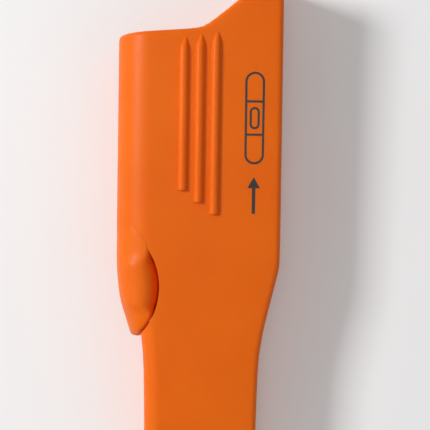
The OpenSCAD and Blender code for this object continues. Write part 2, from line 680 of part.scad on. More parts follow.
// Mirror: leans 45 degrees so that the eye sees the vial in the lower half of the field
module on_mirror() {
    translate([sight_x, y_vial, split_z - mirror_gap - mirror_w]) rotate([0, 0, 45]) children();
}
module mirror() {
    color([0.85, 0.88, 0.90]) on_mirror() block([-mirror_l / 2, 0, 0], [mirror_l / 2, mirror_t, mirror_w]);
}
module mirror_bracket() {
    foot = split_z - mirror_gap - mirror_w;
    back = mirror_t + seat_gap;
    color(BLACK) difference() {
        union() {
            intersection() {
                on_mirror() block([-mirror_l / 2, back, deck_z - foot], [mirror_l / 2, mirror_l, mirror_w]);
                block([bracket_pin[0] - pin_head_d, y_vial - mirror_half, deck_z],
                      [sight_x + mirror_half, y_vial + mirror_half + back, split_z]);
            }
            on_mirror() block([-mirror_l / 2, 0, deck_z - foot], [mirror_l / 2, back + 1, 0]);
            block([bracket_pin[0] - pin_head_d, y_vial - mirror_half + 2 * back, deck_z],
                  [sight_x - mirror_half, y_vial + mirror_half + pin_head_d, deck_z + deck_t]);
        }
        at_pins([bracket_pin]) translate([0, 0, -1]) cylinder(d = pin_d + 2 * pin_gap, h = deck_t + 2);
        at_pins([bracket_pin]) translate([0, 0, deck_t]) cylinder(d = pin_head_d + 2 * head_gap, h = split_z);
    }
}

// Upright plate with a round aperture on the sight line
module sight_plate(y, d) {
    difference() {
        block([sight_x - plate_w / 2, y - plate_t / 2, deck_z],
              [sight_x + plate_w / 2, y + plate_t / 2, split_z + plate_w / 2]);
        on_sight(y + plate_t) cylinder(d = d, h = 2 * plate_t);
    }
}
module reticle_frame() {
    color(BLACK) sight_plate(y_reticle, reticle_d);
}
module hairline() {
    color(STEEL) translate([sight_x, y_reticle + plate_t / 2 + hair_d / 2, split_z])
        cylinder(d = hair_d, h = reticle_d + 2, center = true);
}
module field_stop() {
    color(BLACK) sight_plate(y_stop, stop_d);
}

// Eyepiece: a flanged cup clamped between the shells, with a lens held by a ring
module eyecup() {
    mouth = lens_d - 2 * lens_lip;
    color(BLACK) on_sight(y_eye) difference() {
        union() {
            cylinder(d = cup_d, h = cup_out);
            translate([0, 0, -wall - barrel_len]) cylinder(d = neck_d, h = wall + barrel_len + 1);
            translate([0, 0, cup_seat - wall - seat_gap - lip_t]) cylinder(d = neck_d + 2 * lip_w, h = lip_t);
        }
        translate([0, 0, -wall - barrel_len - lens_in])
            cylinder(d = lens_d + 2 * seat_gap, h = wall + barrel_len);
        translate([0, 0, -2 * lens_in]) cylinder(d = mouth, h = cup_out + 3 * lens_in);
        translate([0, 0, cup_out - mouth_bevel])
            cylinder(d1 = mouth, d2 = mouth + 4 * mouth_bevel, h = 2 * mouth_bevel);
    }
}
module eyepiece_lens() {
    ball = (pow(lens_d / 2, 2) + pow(lens_rise, 2)) / (2 * lens_rise);
    color(CLEAR) on_sight(y_eye) intersection() {
        translate([0, 0, -lens_in - lens_t]) cylinder(d = lens_d, h = lens_t);
        translate([0, 0, -lens_in - lens_t + ball]) sphere(r = ball, $fn = 96);
    }
}
module lens_retainer() {
    color(BLACK) on_sight(y_eye) translate([0, 0, -lens_in - lens_t - hold_len]) difference() {
        cylinder(d = lens_d, h = hold_len);
        translate([0, 0, -1]) cylinder(d = lens_d - 2 * hold_wall, h = hold_len + 2);
    }
}

// Body screw, driven in from the back
module body_screw() {
    shank = split_z + screw_bite - screw_sink;
    point = screw_d / 2;
    slot = [0.3, 0.08] * screw_head_d;
    translate([0, 0, screw_sink - screw_head_h]) difference() {
        cylinder(d = screw_head_d, h = screw_head_h);
        for (a = [0, 90]) rotate([0, 0, a])
            block([-slot[0], -slot[1], -1], [slot[0], slot[1], screw_head_h * 0.6]);
    }
    translate([0, 0, screw_sink]) cylinder(d = screw_d, h = shank - point);
    translate([0, 0, screw_sink + shank - point]) cylinder(d1 = screw_d, d2 = screw_d / 3, h = point);
}
module body_screws() {
    color(STEEL) at_screws() body_screw();
}

front_shell();
rear_shell();
belt_clip();
objective_window();
vial_window();
vial_tube();
vial_liquid();
vial_bubble();
vial_plug();
vial_rings();
vial_cradle();
cradle_screws();
mirror();
mirror_bracket();
bracket_screw();
reticle_frame();
hairline();
field_stop();
eyecup();
eyepiece_lens();
lens_retainer();
body_screws();
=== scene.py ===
"""Sight level, dressed: moulded two-shell body, belt clip, vial unit, sighting plates and eyepiece.

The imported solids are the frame. The outer mouldings are smoothed copies of their solids, the
liquid and the printed sign are made anew, the other pieces keep their solids, and every piece
gets a finish of its own.
"""

import json
import logging
import math
from dataclasses import dataclass, field
from enum import Enum
from typing import Callable

import bmesh
import bpy
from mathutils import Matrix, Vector

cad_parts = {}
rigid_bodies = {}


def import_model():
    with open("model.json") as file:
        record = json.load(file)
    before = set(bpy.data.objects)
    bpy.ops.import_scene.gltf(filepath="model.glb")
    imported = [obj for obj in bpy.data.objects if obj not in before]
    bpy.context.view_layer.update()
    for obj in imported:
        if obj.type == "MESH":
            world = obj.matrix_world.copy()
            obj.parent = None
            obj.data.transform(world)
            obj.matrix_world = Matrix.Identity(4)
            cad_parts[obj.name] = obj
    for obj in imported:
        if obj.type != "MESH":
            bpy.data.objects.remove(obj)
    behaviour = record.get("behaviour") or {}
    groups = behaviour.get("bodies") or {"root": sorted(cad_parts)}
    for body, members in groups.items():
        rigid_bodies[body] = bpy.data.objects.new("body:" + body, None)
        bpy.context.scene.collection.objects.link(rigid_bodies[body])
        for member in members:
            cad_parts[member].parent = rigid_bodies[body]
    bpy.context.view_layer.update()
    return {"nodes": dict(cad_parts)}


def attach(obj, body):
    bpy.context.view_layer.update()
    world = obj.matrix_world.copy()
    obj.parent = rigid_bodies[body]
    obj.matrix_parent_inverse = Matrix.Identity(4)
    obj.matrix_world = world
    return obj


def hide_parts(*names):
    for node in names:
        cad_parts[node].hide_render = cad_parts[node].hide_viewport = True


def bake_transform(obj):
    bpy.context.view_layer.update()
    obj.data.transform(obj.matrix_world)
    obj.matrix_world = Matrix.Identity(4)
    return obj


for leftover in list(bpy.data.objects):
    bpy.data.objects.remove(leftover)
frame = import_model()

MM = 0.001
TOUCH = 1e-6  # metres within which two places are the same
SLIVER = 1e-5  # metres under which an edge is a sliver
FLAT_WEIGHT = 60  # share of large faces in the normals, in per cent
NOISE_MIDDLE = (0.3, 0.7)  # most of a noise lies between these
LOG = logging.getLogger("sight_level")
Pair = tuple[float, float]
Triple = tuple[float, float, float]
Colour = Triple
Socket = bpy.types.NodeSocket


class Body(Enum):
    """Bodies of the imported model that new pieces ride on."""

    HOUSING = "body"
    CLIP = "clip"


class Slot(Enum):
    """Material slots of the record, passed along with new pieces."""

    SHELL = "orange_shell"
    PANE = "clear_pane"
    LIQUID = "vial_liquid"
    BLACK = "black_plastic"
    SCREW = "screw_steel"
    RUBBER = "eyecup_rubber"


class Element(Enum):
    """Kinds of mesh element that can be picked in edit mode."""

    VERT = "VERT"
    EDGE = "EDGE"
    FACE = "FACE"


class Bench:
    """Modelling moves that the sub-assemblies share."""

    @staticmethod
    def put_down() -> None:
        """Leave edit mode and deselect everything."""
        if bpy.context.object is not None and bpy.context.object.mode != "OBJECT":
            bpy.ops.object.mode_set(mode="OBJECT")
        bpy.ops.object.select_all(action="DESELECT")

    @staticmethod
    def take_up(piece: bpy.types.Object) -> None:
        """Make a piece the only selected and active one.

        Args:
            piece: Piece to work on.
        """
        Bench.put_down()
        piece.select_set(True)
        bpy.context.view_layer.objects.active = piece

    @staticmethod
    def edit(piece: bpy.types.Object) -> None:
        """Open a piece in edit mode."""
        Bench.take_up(piece)
        bpy.ops.object.mode_set(mode="EDIT")

    @staticmethod
    def copy_solid(node: str, name: str) -> bpy.types.Object:
        """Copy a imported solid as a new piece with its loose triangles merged.

        Args:
            node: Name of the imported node.
            name: Name of the new piece.

        Returns:
            The new piece, without materials.
        """
        mesh = frame["nodes"][node].data.copy()
        mesh.name = name
        mesh.materials.clear()
        piece = bpy.data.objects.new(name, mesh)
        bpy.context.scene.collection.objects.link(piece)
        Bench.take_up(piece)
        bpy.ops.mesh.customdata_custom_splitnormals_clear()
        Bench.edit(piece)
        bpy.ops.mesh.select_all(action="SELECT")
        bpy.ops.mesh.remove_doubles(threshold=TOUCH)
        bpy.ops.mesh.dissolve_degenerate(threshold=SLIVER)
        bpy.ops.object.mode_set(mode="OBJECT")
        return piece

    @staticmethod
    def pick(piece: bpy.types.Object, kind: Element, test: Callable[[object], bool]) -> int:
        """Select elements of the piece in edit mode by a test on each of them.

        Args:
            piece: Piece that is open in edit mode.
            kind: Kind of element to select.
            test: Says of one element whether it is taken.

        Returns:
            How many elements were taken.
        """
        bpy.ops.mesh.select_mode(type=kind.value)
        bpy.ops.mesh.select_all(action="DESELECT")
        form = bmesh.from_edit_mesh(piece.data)
        pool = {Element.VERT: form.verts, Element.EDGE: form.edges, Element.FACE: form.faces}[kind]
        taken = [element for element in pool if test(element)]
        for element in taken:
            element.select_set(True)
        form.select_flush_mode()
        bmesh.update_edit_mesh(piece.data)
        return len(taken)

    @staticmethod
    def smooth(piece: bpy.types.Object, angle: float) -> None:
        """Shade a piece smooth up to an angle, with its large faces kept flat.

        Args:
            piece: Piece to shade.
            angle: Edges sharper than this, in degrees, stay sharp.
        """
        Bench.take_up(piece)
        bpy.ops.object.shade_smooth_by_angle(angle=math.radians(angle))
        weights = piece.modifiers.new("flat_faces", "WEIGHTED_NORMAL")
        weights.mode = "FACE_AREA_WITH_ANGLE"
        weights.keep_sharp = True
        weights.weight = FLAT_WEIGHT
        bpy.ops.object.modifier_apply(modifier=weights.name)

    @staticmethod
    def bevel(piece: bpy.types.Object, width: float, segments: int, angle: float = 35.0) -> None:
        """Round the edges of a piece that are sharper than an angle.

        Args:
            piece: Piece to round.
            width: Width of the rounding, in metres.
            segments: Steps of the rounding.
            angle: Edges flatter than this, in degrees, are left.
        """
        Bench.take_up(piece)
        rounding = piece.modifiers.new("rounding", "BEVEL")
        rounding.width = width
        rounding.segments = segments
        rounding.limit_method = "ANGLE"
        rounding.angle_limit = math.radians(angle)
        bpy.ops.object.modifier_apply(modifier=rounding.name)

    @staticmethod
    def ease(share: float) -> float:
        """Take a share from 0 to 1 with a soft start and a soft end."""
        share = min(max(share, 0.0), 1.0)
        return share * share * (3.0 - 2.0 * share)


class ShaderSheet:
    """Node tree of one material, with a call for each thing a finish needs."""

    def __init__(self, name: str) -> None:
        """Start a material with a principled shader on object coordinates.

        Args:
            name: Name of the material.
        """
        self.material = bpy.data.materials.new(name)
        self.material.use_nodes = True
        tree = self.material.node_tree
        self.nodes, self.links = tree.nodes, tree.links
        self.nodes.clear()
        output = self.nodes.new("ShaderNodeOutputMaterial")
        self.shader = self.nodes.new("ShaderNodeBsdfPrincipled")
        self.links.new(self.shader.outputs["BSDF"], output.inputs["Surface"])
        self.place = self.nodes.new("ShaderNodeTexCoord").outputs["Object"]

    def set(self, **values: object) -> None:
        """Set constant sockets of the shader; underscores stand for blanks."""
        for key, value in values.items():
            self.shader.inputs[key.replace("_", " ")].default_value = value

    def feed(self, socket: str, source: Socket) -> None:
        """Link a source to a socket of the shader."""
        self.links.new(source, self.shader.inputs[socket])

    def noise(self, size: float, detail: float = 3.0, stretch: Triple = (1, 1, 1)) -> Socket:
        """Noise with blotches of a real size.

        Args:
            size: Size of a blotch, in metres.
            detail: Octaves of finer noise.
            stretch: Scale of the coordinates along each axis.

        Returns:
            The noise, about 0 to 1.
        """
        mapping = self.nodes.new("ShaderNodeMapping")
        mapping.inputs["Scale"].default_value = stretch
        self.links.new(self.place, mapping.inputs["Vector"])
        node = self.nodes.new("ShaderNodeTexNoise")
        node.inputs["Scale"].default_value = 1.0 / size
        node.inputs["Detail"].default_value = detail
        self.links.new(mapping.outputs["Vector"], node.inputs["Vector"])
        return node.outputs[0]

    def tint(self, source: Socket, dark: Colour, light: Colour) -> Socket:
        """Colours over the middle of a noise.

        Args:
            source: The noise.
            dark: Linear colour at its low end.
            light: Linear colour at its high end.

        Returns:
            The colour.
        """
        node = self.nodes.new("ShaderNodeValToRGB")
        for element, position, colour in zip(node.color_ramp.elements, NOISE_MIDDLE, (dark, light)):
            element.position = position
            element.color = (*colour, 1.0)
        self.links.new(source, node.inputs["Fac"])
        return node.outputs["Color"]

    def spread(self, source: Socket, low: float, high: float) -> Socket:
        """Map the middle of a noise to a range of values.

        Args:
            source: The noise.
            low: Value at its low end.
            high: Value at its high end.

        Returns:
            The value.
        """
        node = self.nodes.new("ShaderNodeMapRange")
        node.inputs["From Min"].default_value, node.inputs["From Max"].default_value = NOISE_MIDDLE
        node.inputs["To Min"].default_value = low
        node.inputs["To Max"].default_value = high
        self.links.new(source, node.inputs["Value"])
        return node.outputs["Result"]

    def bump(self, height: Socket, depth: float, strength: float) -> Socket:
        """Surface relief.

        Args:
            height: Height from 0 to 1.
            depth: Real depth of the relief, in metres.
            strength: Share of the relief that shows.

        Returns:
            The normal.
        """
        node = self.nodes.new("ShaderNodeBump")
        node.inputs["Distance"].default_value = depth
        node.inputs["Strength"].default_value = strength
        self.links.new(height, node.inputs["Height"])
        return node.outputs["Normal"]


@dataclass(frozen=True)
class MouldedPlastic:
    """Moulded plastic with a fine spark-eroded grain."""

    name: str
    light: Colour
    dark: Colour
    gloss: Pair
    grain: float = 0.7 * MM
    grain_depth: float = 0.03 * MM
    grain_relief: float = 0.6
    shine: float = 0.25
    glow: float = 0.0
    glow_reach: Triple = (1.0, 0.3, 0.08)
    glow_scale: float = 1.8 * MM
    wave: float = 24 * MM
    index: float = 1.5

    def make(self) -> bpy.types.Material:
        """Build the material.

        Returns:
            The new material.
        """
        sheet = ShaderSheet(self.name)
        cloud = sheet.noise(self.wave, detail=1.0)
        speckle = sheet.noise(self.grain, detail=2.0)
        sheet.feed("Base Color", sheet.tint(cloud, self.dark, self.light))
        sheet.feed("Roughness", sheet.spread(speckle, *self.gloss))
        sheet.feed("Normal", sheet.bump(speckle, self.grain_depth, self.grain_relief))
        sheet.set(IOR=self.index, Specular_IOR_Level=self.shine, Subsurface_Weight=self.glow,
                  Subsurface_Radius=self.glow_reach, Subsurface_Scale=self.glow_scale)
        return sheet.material


@dataclass(frozen=True)
class ClearPlastic:
    """Clear or tinted see-through moulding with faint smears, and a painted glow (emission in its
    light colour) where glow is set.
    """

    name: str
    light: Colour
    dark: Colour
    index: float
    gloss: Pair = (0.0, 0.03)
    # glow: strength of a painted glow, emission that lights the piece from within though it is no
    # lamp
    glow: float = 0.0
    smear: float = 3 * MM
    wave: float = 6 * MM
    wave_depth: float = 0.01 * MM
    wave_relief: float = 0.1

    def make(self) -> bpy.types.Material:
        """Build the material.

        Returns:
            The new material.
        """
        sheet = ShaderSheet(self.name)
        smear = sheet.noise(self.smear)
        wave = sheet.noise(self.wave, detail=1.0)
        sheet.feed("Base Color", sheet.tint(smear, self.dark, self.light))
        sheet.feed("Roughness", sheet.spread(smear, *self.gloss))
        sheet.feed("Normal", sheet.bump(wave, self.wave_depth, self.wave_relief))
        # the emission is a painted glow in the light colour, zero unless glow is set
        sheet.set(Transmission_Weight=1.0, IOR=self.index,
                  Emission_Color=(*self.light, 1.0), Emission_Strength=self.glow)
        return sheet.material


@dataclass(frozen=True)
class BareMetal:
    """Metal with drawn marks."""

    name: str
    light: Colour
    dark: Colour
    gloss: Pair
    marks: float = 0.5 * MM
    stretch: Triple = (1, 1, 0.2)
    mark_depth: float = 0.01 * MM
    mark_relief: float = 0.3

    def make(self) -> bpy.types.Material:
        """Build the material.

        Returns:
            The new material.
        """
        sheet = ShaderSheet(self.name)
        lines = sheet.noise(self.marks, detail=4.0, stretch=self.stretch)
        sheet.feed("Base Color", sheet.tint(lines, self.dark, self.light))
        sheet.feed("Roughness", sheet.spread(lines, *self.gloss))
        sheet.feed("Normal", sheet.bump(lines, self.mark_depth, self.mark_relief))
        sheet.set(Metallic=1.0)
        return sheet.material


@dataclass(frozen=True)
class Finishes:
    """All finishes of the tool, made once."""

    shell: bpy.types.Material
    black: bpy.types.Material
    rubber: bpy.types.Material
    ink: bpy.types.Material
    pane: bpy.types.Material
    vial: bpy.types.Material
    liquid: bpy.types.Material
    bubble: bpy.types.Material
    lens: bpy.types.Material
    screw: bpy.types.Material
    hair: bpy.types.Material
    mirror: bpy.types.Material

    @classmethod
    def make(cls) -> "Finishes":
        """Make every finish.

        Returns:
            The finishes, each with its material.
        """
        return cls(
            shell=MouldedPlastic("shell_orange", (0.82, 0.147, 0.003), (0.79, 0.133, 0.002),
                                 (0.36, 0.48), grain=0.6 * MM, grain_depth=0.06 * MM,
                                 shine=0.15, glow=0.3).make(),
            black=MouldedPlastic("inner_black", (0.022, 0.022, 0.024), (0.014, 0.014, 0.016),
                                 (0.45, 0.6)).make(),
            rubber=MouldedPlastic("cup_rubber", (0.03, 0.03, 0.032), (0.018, 0.018, 0.02),
                                  (0.6, 0.8), grain=0.3 * MM).make(),
            ink=MouldedPlastic("print_grey", (0.05, 0.047, 0.045), (0.036, 0.034, 0.033),
                               (0.42, 0.55), grain=0.4 * MM, grain_depth=0.01 * MM).make(),
            pane=ClearPlastic("pane_clear", (0.95, 0.98, 0.98), (0.9, 0.95, 0.95), 1.49).make(),
            vial=ClearPlastic("vial_acrylic", (0.97, 0.99, 0.98), (0.93, 0.97, 0.95), 1.49).make(),
            # the liquid and the bubble carry a painted glow (emission), so that they show brightly
            # through the vial window though little light reaches them
            liquid=ClearPlastic("vial_spirit_painted_glow", (0.72, 0.9, 0.05), (0.62, 0.82, 0.03), 1.36,
                                glow=0.18).make(),
            bubble=ClearPlastic("vial_air_painted_glow", (0.98, 1.0, 0.9), (0.94, 0.97, 0.84), 1.36,
                                glow=0.25).make(),
            lens=ClearPlastic("lens_acrylic", (0.96, 0.98, 1.0), (0.93, 0.96, 0.98), 1.49).make(),
            screw=BareMetal("screw_zinc", (0.62, 0.62, 0.64), (0.45, 0.46, 0.48),
                            (0.25, 0.42)).make(),
            hair=BareMetal("hair_dark", (0.04, 0.04, 0.042), (0.02, 0.02, 0.022),
                           (0.4, 0.55)).make(),
            mirror=BareMetal("mirror_silver", (0.93, 0.94, 0.95), (0.9, 0.91, 0.92), (0.02, 0.05),
                             marks=8 * MM, stretch=(1, 1, 1)).make(),
        )


def wear(piece: bpy.types.Object, finish: bpy.types.Material, slot: Slot, body: Body | None,
         *nodes: str) -> None:
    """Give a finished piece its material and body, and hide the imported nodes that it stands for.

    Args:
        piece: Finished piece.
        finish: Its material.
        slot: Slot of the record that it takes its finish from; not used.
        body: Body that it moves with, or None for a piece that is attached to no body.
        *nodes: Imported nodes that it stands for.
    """
    piece.data.materials.clear()
    piece.data.materials.append(finish)
    if body is not None:
        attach(piece, body.value)
    if nodes:
        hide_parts(*nodes)
    LOG.info("%s: %d faces in %s", piece.name, len(piece.data.polygons), finish.name)


def refinish(node: str, finish: bpy.types.Material) -> None:
    """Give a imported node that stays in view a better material.

    Args:
        node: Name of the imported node.
        finish: Its material.
    """
    solid = frame["nodes"][node]
    for holder in solid.material_slots:
        holder.material = finish
    LOG.info("%s: packed solid in %s", node, finish.name)


@dataclass
class Housing:
    """The two moulded body shells."""

    crease: float = 38.0
    groove: float = 0.25 * MM
    split_z: float = 14.5 * MM
    probe: float = 0.6 * MM
    upright: float = 0.5
    shells: dict[str, bpy.types.Object] = field(default_factory=dict)

    def build(self) -> None:
        """Copy both shells, ease the edge of their joint and smooth them."""
        for node, up in (("front_shell", 1.0), ("rear_shell", -1.0)):
            shell = Bench.copy_solid(node, f"{node}_moulding")
            self._ease_joint(shell, node, up)
            Bench.smooth(shell, self.crease)
            self.shells[node] = shell

    def _ease_joint(self, shell: bpy.types.Object, node: str, up: float) -> None:
        """Bevel the outer edge of the rim, so that the joint of the shells shows as a fine groove.

        Args:
            shell: Copy of the shell.
            node: Packed shell that it was copied from.
            up: Direction from the rim into the shell.
        """
        solid = frame["nodes"][node]

        def outer(edge: bmesh.types.BMEdge) -> bool:
            """Say whether an edge of the rim has no shell over the place just beside it.

            Args:
                edge: Edge of the copy.

            Returns:
                True for an outer edge of the rim.
            """
            if any(abs(v.co.z - self.split_z) > TOUCH for v in edge.verts):
                return False
            walls = [f for f in edge.link_faces if abs(f.normal.z) < self.upright]
            if len(walls) != 1 or len(edge.link_faces) != 2:
                return False
            beside = (edge.verts[0].co + edge.verts[1].co) / 2 + walls[0].normal * self.probe
            return not solid.ray_cast(beside, Vector((0, 0, up)))[0]

        Bench.edit(shell)
        taken = Bench.pick(shell, Element.EDGE, outer)
        bpy.ops.mesh.bevel(offset=self.groove, offset_type="OFFSET", segments=1, affect="EDGES")
        Bench.put_down()
        LOG.info("%s: %d edges of the joint eased", node, taken)

    def dress(self, finishes: Finishes) -> None:
        """Put the shells in orange plastic."""
        for node, shell in self.shells.items():
            wear(shell, finishes.shell, Slot.SHELL, Body.HOUSING, node)


@dataclass
class BeltClip:
    """The spoon-shaped clip that carries on the flank of the head and bends at its root."""

    # the scoop of the shells and the gap at the root
    scoop_centre: Vector = field(default_factory=lambda: Vector((-33.4, -19.09693, 14.5)) * MM)
    scoop_r: float = 21.6 * MM
    root_gap: float = 0.2 * MM
    slack: float = 0.1 * MM
    # how the root runs on along the flank
    flank_axis: Vector = field(default_factory=lambda: Vector((-15.0, 0.0, 14.5)) * MM)
    proud: Pair = (1.013, 1.010)
    cover: float = 1.5 * MM
    bite: float = 1.5 * MM
    sunk: Pair = (0.97, 0.976)
    # how the tip leans to the handle and is rounded
    lean: float = 0.35 * MM
    lean_from: float = -22.0 * MM
    lean_run: float = 8.0 * MM
    tip_from: float = -29.0 * MM
    tip_run: float = 4.0 * MM
    tip_rounds: int = 14
    # how the rim rolls on towards the scoop
    rim_from: float = 18.0 * MM
    rim_to: float = 20.9 * MM
    rim_push: float = 0.45 * MM
    rim_ends: Pair = (-9.5 * MM, -26.5 * MM)
    rim_run: float = 3.5 * MM
    # where the clip bends, and how smooth its skin is
    flex_start: Vector = field(default_factory=lambda: Vector((-20.65, -3.3, 14.5)) * MM)
    flex_end: Vector = field(default_factory=lambda: Vector((-25.1, -8.9, 14.5)) * MM)
    rounds: int = 2
    crease: float = 30.0
    clip: bpy.types.Object | None = None

    def build(self) -> None:
        """Copy the clip, run its root into the flank, round its tip and roll its rim on."""
        self.clip = Bench.copy_solid("belt_clip", "belt_clip_moulding")
        self._root()
        self._tip()
        self._soften()
        self._rim()
        Bench.smooth(self.clip, self.crease)

    def _radius(self, vert: bmesh.types.BMVert) -> float:
        """Distance of a vertex from the axis of the scoop, or 0 for one in the tip half."""
        spoke = vert.co.xy - self.scoop_centre.xy
        return spoke.length if spoke.y > 0 else 0.0

    def _root(self) -> None:
        """Close the gap at the root, and run the root along the flank until it sinks under it."""
        reach = self.scoop_r - self.root_gap - self.slack
        Bench.edit(self.clip)
        Bench.pick(self.clip, Element.FACE,
                   lambda f: all(self._radius(v) > reach for v in f.verts))
        bpy.ops.mesh.delete(type="FACE")
        ring = Bench.pick(self.clip, Element.EDGE, lambda e: e.is_boundary)
        LOG.info("belt_clip: root ring of %d edges", ring)
        bpy.ops.mesh.edge_face_add()
        close = self.scoop_r / (self.scoop_r - self.root_gap)
        bpy.ops.transform.resize(value=(close, close, 1.0), center_override=self.scoop_centre)
        bpy.ops.transform.resize(value=(self.proud[0], 1.0, self.proud[1]),
                                 center_override=self.flank_axis)
        bpy.ops.mesh.extrude_region()
        bpy.ops.transform.translate(value=(0, self.cover, 0))
        bpy.ops.mesh.extrude_region()
        bpy.ops.transform.translate(value=(0, self.bite, 0))
        bpy.ops.transform.resize(value=(self.sunk[0], 1.0, self.sunk[1]),
                                 center_override=self.flank_axis)
        Bench.put_down()

    def _tip(self) -> None:
        """Lean the tip softly towards the side of the handle, until it all but rests on it."""
        for vert in self.clip.data.vertices:
            vert.co.x += self.lean * Bench.ease((self.lean_from - vert.co.y) / self.lean_run)

    def _soften(self) -> None:
        """Turn the skin into a smooth subdivided surface, with a rounded tip."""
        Bench.edit(self.clip)
        bpy.ops.mesh.select_all(action="SELECT")
        bpy.ops.mesh.tris_convert_to_quads()
        Bench.take_up(self.clip)
        skin = self.clip.modifiers.new("skin", "SUBSURF")
        skin.levels = skin.render_levels = self.rounds
        bpy.ops.object.modifier_apply(modifier=skin.name)
        tip = self.clip.vertex_groups.new(name="tip")
        for vert in self.clip.data.vertices:
            share = (self.tip_from - vert.co.y) / self.tip_run
            tip.add([vert.index], min(max(share, 0.0), 1.0), "REPLACE")
        ease = self.clip.modifiers.new("ease", "SMOOTH")
        ease.iterations = self.tip_rounds
        ease.vertex_group = tip.name
        bpy.ops.object.modifier_apply(modifier=ease.name)
        self.clip.vertex_groups.clear()

    def _rim(self) -> None:
        """Roll the rim on towards the scoop, until only a fine gap is left between them."""
        upper, lower = self.rim_ends
        for vert in self.clip.data.vertices:
            spoke = vert.co.xy - self.scoop_centre.xy
            share = Bench.ease((spoke.length - self.rim_from) / (self.rim_to - self.rim_from))
            share *= Bench.ease((upper - vert.co.y) / self.rim_run)
            share *= Bench.ease((vert.co.y - lower) / self.rim_run)
            vert.co += spoke.normalized().to_3d() * self.rim_push * share

    def dress(self, finishes: Finishes) -> None:
        """Put the clip in orange plastic, attached to no body, and bake its place into its mesh."""
        wear(self.clip, finishes.shell, Slot.SHELL, None, "belt_clip")
        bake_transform(self.clip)


@dataclass
class LevelMark:
    """Plain printed sign: a vial with its bubble, and an arrow along the line of sight."""

    x: float = 17.4 * MM
    vial_y: float = 34.5 * MM
    vial_size: Pair = (6.2 * MM, 29 * MM)
    bubble_size: Pair = (3.2 * MM, 7 * MM)
    line: float = 0.7 * MM
    cross: float = 5.2 * MM
    arrow_y: float = 4.5 * MM
    arrow_size: Pair = (4.6 * MM, 11.5 * MM)
    shaft_w: float = 1.05 * MM
    facets: int = 40
    height: float = 200 * MM
    ink: float = 0.05 * MM
    mark: bpy.types.Object | None = None

    def build(self) -> None:
        """Draw the sign flat, lay it on the front face and give it the thickness of ink."""
        shapes = [self._ring(self.vial_size), self._ring(self.bubble_size)]
        width = self.vial_size[0] - self.line
        for side in (-1, 1):
            shapes.append(self._bar(self.vial_y + side * self.cross, (width, self.line)))
        radius = self.arrow_size[0] / 2
        shapes.append(self._head(self.arrow_y + self.arrow_size[1] - radius, radius))
        shaft = self.arrow_size[1] - 1.5 * radius  # a three-cornered head is 1.5 radii long
        shapes.append(self._bar(self.arrow_y + shaft / 2, (self.shaft_w, shaft)))
        Bench.put_down()
        for shape in shapes:
            shape.select_set(True)
        bpy.context.view_layer.objects.active = shapes[0]
        bpy.ops.object.join()
        self.mark = bpy.context.object
        self.mark.name = "level_mark"
        self._lay()

    def _ring(self, size: Pair) -> bpy.types.Object:
        """Draw the outline of a capsule round the middle of the vial.

        Args:
            size: Width and length of the capsule.

        Returns:
            The flat outline.
        """
        bpy.ops.mesh.primitive_circle_add(vertices=self.facets, radius=size[0] / 2,
                                          fill_type="NGON")
        ring = bpy.context.object
        Bench.edit(ring)
        for side in (-1, 1):
            Bench.pick(ring, Element.VERT, lambda v: v.co.y * side > -TOUCH * side)
            bpy.ops.transform.translate(value=(0, side * (size[1] - size[0]) / 2, 0))
        bpy.ops.mesh.select_mode(type="FACE")
        bpy.ops.mesh.select_all(action="SELECT")
        bpy.ops.mesh.inset(thickness=self.line)
        bpy.ops.mesh.delete(type="FACE")
        bpy.ops.mesh.select_all(action="SELECT")
        bpy.ops.transform.translate(value=(self.x, self.vial_y, 0))
        Bench.put_down()
        return ring

    def _bar(self, y: float, size: Pair) -> bpy.types.Object:
        """Draw a plain bar on the middle line of the sign.

        Args:
            y: Place of its middle along the sign.
            size: Its size across and along.

        Returns:
            The flat bar.
        """
        bpy.ops.mesh.primitive_plane_add(size=1.0)
        bar = bpy.context.object
        Bench.edit(bar)
        bpy.ops.mesh.select_all(action="SELECT")
        bpy.ops.transform.resize(value=(*size, 1.0))
        bpy.ops.transform.translate(value=(self.x, y, 0))
        Bench.put_down()
        return bar

    def _head(self, y: float, radius: float) -> bpy.types.Object:
        """Draw the head of the arrow, pointing to the nose.

        Args:
            y: Place of its middle along the sign.
            radius: From its middle to its corners.

        Returns:
            The flat head.
        """
        bpy.ops.mesh.primitive_circle_add(vertices=3, radius=radius, fill_type="NGON")
        head = bpy.context.object
        Bench.edit(head)
        bpy.ops.mesh.select_all(action="SELECT")
        bpy.ops.transform.translate(value=(self.x, y, 0))
        Bench.put_down()
        return head

    def _lay(self) -> None:
        """Drop the flat sign onto the front face and thicken it."""
        Bench.edit(self.mark)
        bpy.ops.mesh.select_all(action="SELECT")
        bpy.ops.transform.translate(value=(0, 0, self.height))
        Bench.take_up(self.mark)
        drop = self.mark.modifiers.new("drop", "SHRINKWRAP")
        drop.target = frame["nodes"]["front_shell"]
        drop.wrap_method = "PROJECT"
        drop.use_project_z = True
        drop.use_negative_direction = True
        drop.use_positive_direction = False
        bpy.ops.object.modifier_apply(modifier=drop.name)
        Bench.edit(self.mark)
        bpy.ops.mesh.select_all(action="SELECT")
        bpy.ops.transform.translate(value=(0, 0, -self.ink / 2))
        bpy.ops.mesh.extrude_region_move(TRANSFORM_OT_translate={"value": (0, 0, self.ink)})
        bpy.ops.mesh.select_all(action="SELECT")
        bpy.ops.mesh.normals_make_consistent(inside=False)
        Bench.put_down()

    def dress(self, finishes: Finishes) -> None:
        """Print the sign in dark grey."""
        wear(self.mark, finishes.ink, Slot.BLACK, Body.HOUSING)


